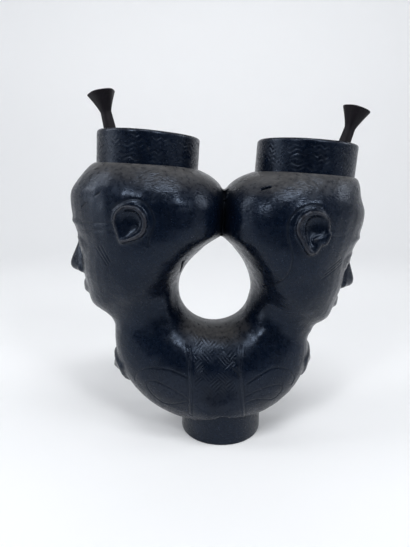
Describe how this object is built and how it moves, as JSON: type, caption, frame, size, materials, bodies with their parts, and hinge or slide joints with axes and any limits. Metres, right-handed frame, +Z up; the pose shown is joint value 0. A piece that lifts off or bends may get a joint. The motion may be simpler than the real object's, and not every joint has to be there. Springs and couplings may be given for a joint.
{
  "type": "double palm-wine cup",
  "caption": "Carved dark wooden double cup: heads back to back on a shared torso with a round foot, open at the crowns, with loose flared sticks standing in the bowls.",
  "frame": {"origin": "middle of the foot's flat base", "axes": "+Z up out of the foot; the left face looks along -X and the right face along +X; +Y to the back"},
  "size_m": [0.237, 0.1242, 0.279],
  "materials": {
    "blackened_wood": "blackened and oiled, satin with worn edges",
    "stick_wood": "dark, matt"
  },
  "bodies": {
    "cup": {"left_head": "blackened_wood", "right_head": "blackened_wood", "left_rim": "blackened_wood", "right_rim": "blackened_wood", "torso": "blackened_wood", "foot": "blackened_wood"},
    "left_stick": {"left_stick": "stick_wood"},
    "right_stick": {"right_stick": "stick_wood"}
  },
  "joints": [
    {"name": "left_stick_lift", "type": "slide", "parent": "cup", "child": "left_stick", "axis": [-0.2022, 0, 0.9794], "range_m": [0, 0.11]},
    {"name": "right_stick_lift", "type": "slide", "parent": "cup", "child": "right_stick", "axis": [0.3192, 0, 0.9477], "range_m": [0, 0.11]}
  ]
}
